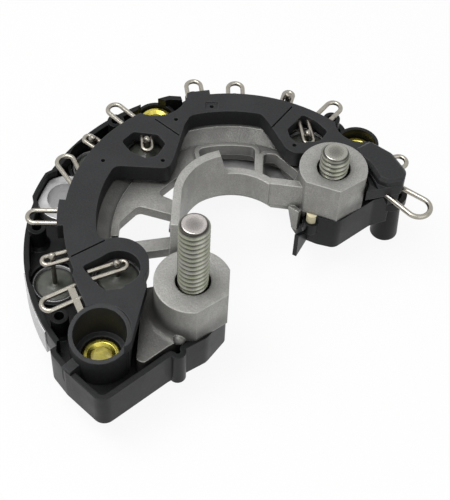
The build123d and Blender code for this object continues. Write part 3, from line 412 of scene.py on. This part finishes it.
def drawn_brass(colour):
    """Bright brass, brighter along its edges, tarnished down the bore"""
    finish = Finish("drawn_brass", Metallic=1.0)
    patch = finish.noise(1.6 * MM, 3.0, 0.6)
    fine = finish.noise(0.2 * MM, 3.0, 0.6)
    body = finish.blend(patch.ramp(0.4, 0.7), colour, tint(colour, 0.72))
    tarnished = finish.blend(finish.height().ramp(2.0 * MM, 7.0 * MM, 0.6, 0.0), body, tint(colour, 0.5))
    rubbed = finish.blend(finish.edges(0.3 * MM) * 0.7, tarnished, tint(colour, 1.35))
    relief = finish.bump(fine + patch * 0.5, 0.2, 0.04 * MM, 0.25 * MM)
    return finish.feed(Base_Color=rubbed, Roughness=patch.ramp(0.3, 0.7, 0.22, 0.38), Normal=relief)


def put_on(material, *names):
    """Gives carried-over CAD nodes a material"""
    for name in names:
        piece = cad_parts[name]
        piece.data.materials.clear()
        piece.data.materials.append(material)


# Settings


def colour_setting(name, description, default):
    """A colour in the panel"""
    return FloatVectorProperty(name=name, description=description, subtype="COLOR", size=3, default=default)


class RectifierFinishes(PropertyGroup):
    """Colours of the metals and plastics"""

    casting: colour_setting("Casting", "Sandy cast aluminium", (0.31, 0.307, 0.29))
    lower_sink: colour_setting("Lower heat sink", "Stamped aluminium", (0.50, 0.50, 0.50))
    cover: colour_setting("Cover", "Charcoal moulding", (0.020, 0.0205, 0.0215))
    tray: colour_setting("Tray", "Black moulding", (0.0065, 0.0068, 0.0073))
    bush: colour_setting("Bush", "Cream insulating bush", (0.66, 0.60, 0.40))
    zinc: colour_setting("Zinc", "Plating of the studs", (0.34, 0.335, 0.30))
    zinc_tinge: colour_setting("Zinc tinge", "Tinge of the plating", (0.29, 0.31, 0.22))
    stud_end: colour_setting("Stud end", "Cut end of the long stud", (0.46, 0.43, 0.415))
    wire: colour_setting("Wire", "Tinned wire", (0.37, 0.35, 0.305))
    weld: colour_setting("Weld", "Heat stain on wires and leads", (0.24, 0.21, 0.18))
    cup: colour_setting("Cup", "Nickel on the diode cups", (0.20, 0.20, 0.20))
    potting: colour_setting("Potting", "Potting in the diodes", (0.075, 0.08, 0.066))
    brass: colour_setting("Brass", "Fixing eyelets", (0.60, 0.52, 0.11))


class RectifierThreads(PropertyGroup):
    """Thread of the two studs"""

    pitch: FloatProperty(
        name="Pitch", description="Rise of one turn", default=1.7 * MM, unit="LENGTH", precision=5)
    depth: FloatProperty(
        name="Depth", description="From crest to root", default=0.85 * MM, unit="LENGTH", precision=5)
    rows_per_turn: IntProperty(name="Rows", description="Mesh rows in one pitch", default=10, min=4)
    around: IntProperty(name="Around", description="Mesh steps round the stud", default=72, min=12)


class RectifierStudio(PropertyGroup):
    """Camera, lamps and floor"""

    lens: FloatProperty(name="Lens", description="Focal length on a 36 mm side", default=92.45, min=10.0)
    pitch_down: FloatProperty(
        name="Pitch", description="How far the camera looks down", default=radians(52.60), subtype="ANGLE")
    roll: FloatProperty(
        name="Roll", description="Turn about the view line", default=radians(3.17), subtype="ANGLE")
    place: FloatVectorProperty(
        name="Camera", description="Place of the camera", subtype="TRANSLATION",
        default=(-0.0019, -0.2146, 0.2851))
    key_place: FloatVectorProperty(
        name="Key place", description="Place of the key lamp", subtype="TRANSLATION",
        default=(-0.20, -0.02, 0.50))
    fill_place: FloatVectorProperty(
        name="Fill place", description="Place of the fill lamp", subtype="TRANSLATION",
        default=(0.26, -0.30, 0.36))
    key_power: FloatProperty(name="Key", description="Power of the key lamp", default=2.2, unit="POWER")
    fill_power: FloatProperty(name="Fill", description="Power of the fill lamp", default=0.5, unit="POWER")
    key_size: FloatProperty(
        name="Key size", description="Side of the key lamp", default=0.30, unit="LENGTH")
    fill_size: FloatProperty(
        name="Fill size", description="Side of the fill lamp", default=0.40, unit="LENGTH")
    sky: FloatProperty(name="Sky", description="Strength of the world light", default=0.55, min=0.0)
    floor_half: FloatProperty(
        name="Floor", description="Half a side of the floor", default=3.0, unit="LENGTH")
    floor_white: FloatProperty(name="Floor colour", description="Grey level of the lit floor", default=0.7)
    floor_share: FloatProperty(
        name="Floor share", description="Share of its own white that the floor shows", default=0.9)


# Pieces


class RECTIFIER_OT_finishes(Operator):
    """Gives each carried-over CAD node its finish"""

    bl_idname = "rectifier.finishes"
    bl_label = "Finishes"

    def execute(self, context):
        look = context.scene.rectifier_finishes
        wire = tuple(look.wire)
        cover = moulded_plastic("cover_plastic", tuple(look.cover), roughness=0.46,
                                grain_size=0.5 * MM, edge=0.45 * MM, wear=3.0)
        tray = moulded_plastic("tray_plastic", tuple(look.tray), roughness=0.36,
                               grain_size=0.6 * MM, edge=0.35 * MM, wear=4.0)
        put_on(cast_aluminium(tuple(look.casting)), "positive_heat_sink")
        put_on(stamped_aluminium(tuple(look.lower_sink)), "negative_heat_sink")
        put_on(cover, "terminal_cover")
        put_on(tray, "insulator_tray")
        put_on(cream_plastic(tuple(look.bush)), "insulating_bush")
        put_on(drawn_brass(tuple(look.brass)), *EYELETS)
        put_on(wire_metal("tinned_wire", wire, 0.2, tint(wire, 0.7)), *WIRES)
        put_on(wire_metal("welded_wire", tint(wire, 0.92), 0.24, tuple(look.weld)), *HAIRPINS)
        return {"FINISHED"}


class RECTIFIER_OT_studs(Operator):
    """Makes both studs with a rolled thread, inside their CAD outlines"""

    bl_idname = "rectifier.studs"
    bl_label = "Threaded studs"

    def execute(self, context):
        look = context.scene.rectifier_finishes
        thread = context.scene.rectifier_threads
        ends = {"b_plus_stud": tuple(look.stud_end), "short_stud": tuple(look.zinc)}
        for name, end_colour in ends.items():
            low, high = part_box(name)
            centre = ((low[0] + high[0]) / 2, (low[1] + high[1]) / 2)
            points, faces = self.stud_mesh(thread, centre, low[2], high[2], (high[0] - low[0]) / 2)
            piece = new_piece(name + "_threaded", points, faces)
            plating = zinc_plating(name + "_zinc", tuple(look.zinc), tuple(look.zinc_tinge), centre,
                                   CREST_RADIUS, thread.depth, high[2], end_colour)
            piece.data.materials.append(plating)
            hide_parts(name)
        return {"FINISHED"}

    def stud_mesh(self, thread, centre, low, high, head_radius):
        """Head, neck and helical thread.

        On the thread the radius is the crest less the depth times a rounded triangle wave of
        height over pitch less angle over a turn, and it never passes the chamfer cone at the end."""
        turns = (high - THREAD_START) / thread.pitch
        rows = int(turns * thread.rows_per_turn)
        heights = np.linspace(THREAD_START, high, rows)[:, None]
        angles = np.linspace(0, 2 * pi, thread.around, endpoint=False)[None, :]
        wave = np.abs(((heights - THREAD_START) / thread.pitch - angles / (2 * pi)) % 1.0 * 2 - 1)
        flat = 0.08
        shape = np.clip((wave - flat) / (1 - 2 * flat), 0, 1)
        radii = CREST_RADIUS - thread.depth * (1 - shape) ** 1.15
        cone = CREST_RADIUS - 1.15 * (END_CHAMFER - (high - heights)).clip(0)
        radii = np.minimum(radii, cone)
        head_top = low + HEAD_HEIGHT
        shank = ((head_radius * 0.5, low), (head_radius, low), (head_radius, head_top),
                 (NECK_RADIUS, head_top), (NECK_RADIUS, THREAD_START - NECK_GAP))
        rim = radii[-1:].mean()
        dished = ((0.97 * rim, high), (0.6 * rim, high - 0.12 * MM), (0.2 * rim, high - 0.16 * MM))
        lower_radii, lower_heights = profile_rows(shank, thread.around)
        end_radii, end_heights = profile_rows(dished, thread.around)
        upper_heights = np.repeat(heights, thread.around, axis=1)
        return turned_mesh(np.concatenate((lower_radii, radii, end_radii)),
                           np.concatenate((lower_heights, upper_heights, end_heights)), centre)


class RECTIFIER_OT_diodes(Operator):
    """Makes the diode cups with knurling, potting and welded leads"""

    bl_idname = "rectifier.diodes"
    bl_label = "Diodes"

    def execute(self, context):
        look = context.scene.rectifier_finishes
        cup_metal = cup_plating(tuple(look.cup))
        lead_metal = wire_metal("lead_metal", tint(tuple(look.wire), 0.8), 0.28, tuple(look.weld))
        compound = potting_compound(tuple(look.potting))
        for index, name in enumerate(DIODES):
            low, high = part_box(name)
            radius = (high[0] - low[0]) / 2
            centre = (low[0] + radius, (low[1] + high[1]) / 2)
            rim = RIM_HEIGHTS[name.split("_")[0]]
            cup = self.cup(name, centre, radius, low[2], rim)
            cup.data.materials.append(cup_metal)
            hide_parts(name)
            face = self.potting(name, centre, rim)
            face.data.materials.append(compound)
            lead = self.lead(name, centre, rim, high[2], index)
            lead.data.materials.append(lead_metal)
        return {"FINISHED"}

    def cup(self, name, centre, radius, low, rim):
        """Open cup of revolution; its side is drawn in by a cosine of the angle, one wave to a ridge"""
        steps = KNURL_RIDGES * 4
        profile = ((radius - CUP_BEVEL, low), (radius, low + CUP_BEVEL), (radius, rim - CUP_BEVEL),
                   (LIP_OUTER_RADIUS, rim), (LIP_INNER_RADIUS, rim), (CUP_BORE_RADIUS, rim - CUP_DEPTH))
        radii, heights = profile_rows(profile, steps)
        angles = np.linspace(0, 2 * pi, steps, endpoint=False)
        radii[1:3] -= KNURL_DEPTH / 2 * (1 - np.cos(KNURL_RIDGES * angles))
        points, faces = turned_mesh(radii, heights, centre)
        return new_piece(name + "_cup", points, faces)

    def potting(self, name, centre, rim):
        """Disc that sags toward its edge and climbs the lead"""
        top = rim - POTTING_DROP
        profile = ((5.55 * MM, top), (4.6 * MM, top + 0.05 * MM), (2.4 * MM, top + 0.1 * MM),
                   (1.2 * MM, top + 0.35 * MM), (0.7 * MM, top + 0.9 * MM))
        points, faces = turned_mesh(*profile_rows(profile, 64), centre)
        return new_piece(name + "_potting", points, faces)

    def lead(self, name, centre, rim, top, index):
        """Wire that ends in an uneven bead: a sphere swelled by slow sines of angle and height"""
        middle = top - BEAD_DROP
        steps, rows = 24, 14
        angles = np.linspace(0, 2 * pi, steps, endpoint=False)[None, :]
        start = asin(LEAD_RADIUS / BEAD_RADIUS)
        polar = np.linspace(-pi / 2 + start, pi / 2 - 0.12, rows)[:, None]
        swell = 1 + 0.12 * np.sin(2 * angles + 3 * polar + index * 1.7) - 0.05
        bead_radii = BEAD_RADIUS * np.cos(polar) * swell
        bead_heights = np.repeat(middle + BEAD_RADIUS * np.sin(polar), steps, axis=1)
        stem = ((LEAD_RADIUS, rim - 0.9 * MM), (LEAD_RADIUS, middle - BEAD_RADIUS))
        stem_radii, stem_heights = profile_rows(stem, steps)
        points, faces = turned_mesh(np.concatenate((stem_radii, bead_radii)),
                                    np.concatenate((stem_heights, bead_heights)), centre)
        return new_piece(name + "_lead", points, faces)


class RECTIFIER_OT_studio(Operator):
    """Sets a pale floor, soft lamps and the camera"""

    bl_idname = "rectifier.studio"
    bl_label = "Studio"

    def execute(self, context):
        studio = context.scene.rectifier_studio
        self.floor(studio)
        self.lamp("key_lamp", studio.key_power, studio.key_size, studio.key_place)
        self.lamp("fill_lamp", studio.fill_power, studio.fill_size, studio.fill_place)
        self.world(context.scene, studio.sky)
        self.camera(context.scene, studio)
        return {"FINISHED"}

    def floor(self, studio):
        """White sheet under the part that keeps its shadow"""
        half = studio.floor_half
        height = CAD_BOX[0][2]
        signs = ((-1, -1), (1, -1), (1, 1), (-1, 1))
        corners = [(east * half, north * half, height) for east, north in signs]
        mesh = bpy.data.meshes.new("floor")
        mesh.from_pydata(corners, [], [(0, 1, 2, 3)])
        sheet = bpy.data.objects.new("floor", mesh)
        bpy.context.scene.collection.objects.link(sheet)
        sheet.data.materials.append(self.white_sheet(studio.floor_white, studio.floor_share))

    def white_sheet(self, grey, share):
        """White of its own for a share of what the camera and reflections see, and lit for the rest"""
        colour = (grey, grey, grey, 1.0)
        finish = Finish("floor_white", Base_Color=colour, Roughness=0.9, Specular_IOR_Level=0.1)
        tree = finish.tree
        glow = tree.nodes.new("ShaderNodeEmission")
        glow.inputs["Color"].default_value = (1, 1, 1, 1)
        mix = tree.nodes.new("ShaderNodeMixShader")
        tree.links.new((seen_rays(tree) * share).socket, mix.inputs["Fac"])
        tree.links.new(finish.shader.outputs["BSDF"], mix.inputs[1])
        tree.links.new(glow.outputs["Emission"], mix.inputs[2])
        tree.links.new(mix.outputs["Shader"], finish.output.inputs["Surface"])
        return finish.material

    def lamp(self, name, power, size, place):
        """Square area lamp that points at the part"""
        data = bpy.data.lights.new(name, "AREA")
        data.energy = power
        data.size = size
        lamp = bpy.data.objects.new(name, data)
        lamp.location = place
        aim = Vector((0.0, 0.0, 0.01)) - Vector(place)
        lamp.rotation_euler = aim.to_track_quat("-Z", "Y").to_euler()
        bpy.context.scene.collection.objects.link(lamp)

    def world(self, scene, strength):
        """White to the camera and in reflections; to the surfaces a soft sky, darker towards the horizon"""
        world = bpy.data.worlds.new("studio")
        world.use_nodes = True
        tree = world.node_tree
        tree.nodes.clear()
        way = node(tree, "ShaderNodeTexCoord", {}, {}, output="Generated")
        height = node(tree, "ShaderNodeSeparateXYZ", {}, {"Vector": way}, output="Z")
        glow = height.ramp(-0.1, 0.95, 0.15, 1.5)
        plain = seen_rays(tree)
        level = plain + (1 - plain) * (glow * strength)
        background = tree.nodes.new("ShaderNodeBackground")
        background.inputs["Color"].default_value = (1, 1, 1, 1)
        tree.links.new(level.socket, background.inputs["Strength"])
        output = tree.nodes.new("ShaderNodeOutputWorld")
        tree.links.new(background.outputs["Background"], output.inputs["Surface"])
        scene.world = world

    def camera(self, scene, studio):
        """Camera whose axes come from the pitch and the roll"""
        pitch, roll = studio.pitch_down, studio.roll
        forward = Vector((0, cos(pitch), -sin(pitch)))
        level_up = Vector((0, sin(pitch), cos(pitch)))
        level_right = Vector((1, 0, 0))
        right = cos(roll) * level_right + sin(roll) * level_up
        up = -sin(roll) * level_right + cos(roll) * level_up
        data = bpy.data.cameras.new("photo_camera")
        data.lens = studio.lens
        data.sensor_width = 36.0
        data.clip_start = 0.01
        camera = bpy.data.objects.new("photo_camera", data)
        axes = Matrix((right, up, -forward)).transposed().to_4x4()
        camera.matrix_world = Matrix.Translation(studio.place) @ axes
        scene.collection.objects.link(camera)
        scene.camera = camera


class RECTIFIER_PT_panel(Panel):
    """Lists the rectifier's settings and steps"""

    bl_idname = "RECTIFIER_PT_panel"
    bl_label = "Rectifier"
    bl_space_type = "VIEW_3D"
    bl_region_type = "UI"
    bl_category = "Rectifier"

    def draw(self, context):
        for group in SETTINGS:
            box = self.layout.box()
            settings = getattr(context.scene, group)
            for key in settings.bl_rna.properties.keys():
                if key not in ("rna_type", "name"):
                    box.prop(settings, key)
        for step in STEPS:
            self.layout.operator(step.bl_idname)


SETTINGS = {
    "rectifier_finishes": RectifierFinishes,
    "rectifier_threads": RectifierThreads,
    "rectifier_studio": RectifierStudio,
}
STEPS = (RECTIFIER_OT_finishes, RECTIFIER_OT_studs, RECTIFIER_OT_diodes, RECTIFIER_OT_studio)


def register():
    """Registers the classes and puts the settings on the scene"""
    for item in (*SETTINGS.values(), *STEPS, RECTIFIER_PT_panel):
        bpy.utils.register_class(item)
    for name, group in SETTINGS.items():
        setattr(bpy.types.Scene, name, PointerProperty(type=group))


def unregister():
    """Takes the settings and classes away again"""
    for name in SETTINGS:
        delattr(bpy.types.Scene, name)
    for item in (RECTIFIER_PT_panel, *reversed(STEPS), *reversed(tuple(SETTINGS.values()))):
        bpy.utils.unregister_class(item)


def main():
    """Builds every piece in order"""
    register()
    bpy.context.scene.view_settings.view_transform = "Standard"
    bpy.ops.rectifier.finishes()
    bpy.ops.rectifier.studs()
    bpy.ops.rectifier.diodes()
    bpy.ops.rectifier.studio()


if __name__ == "__main__":
    main()
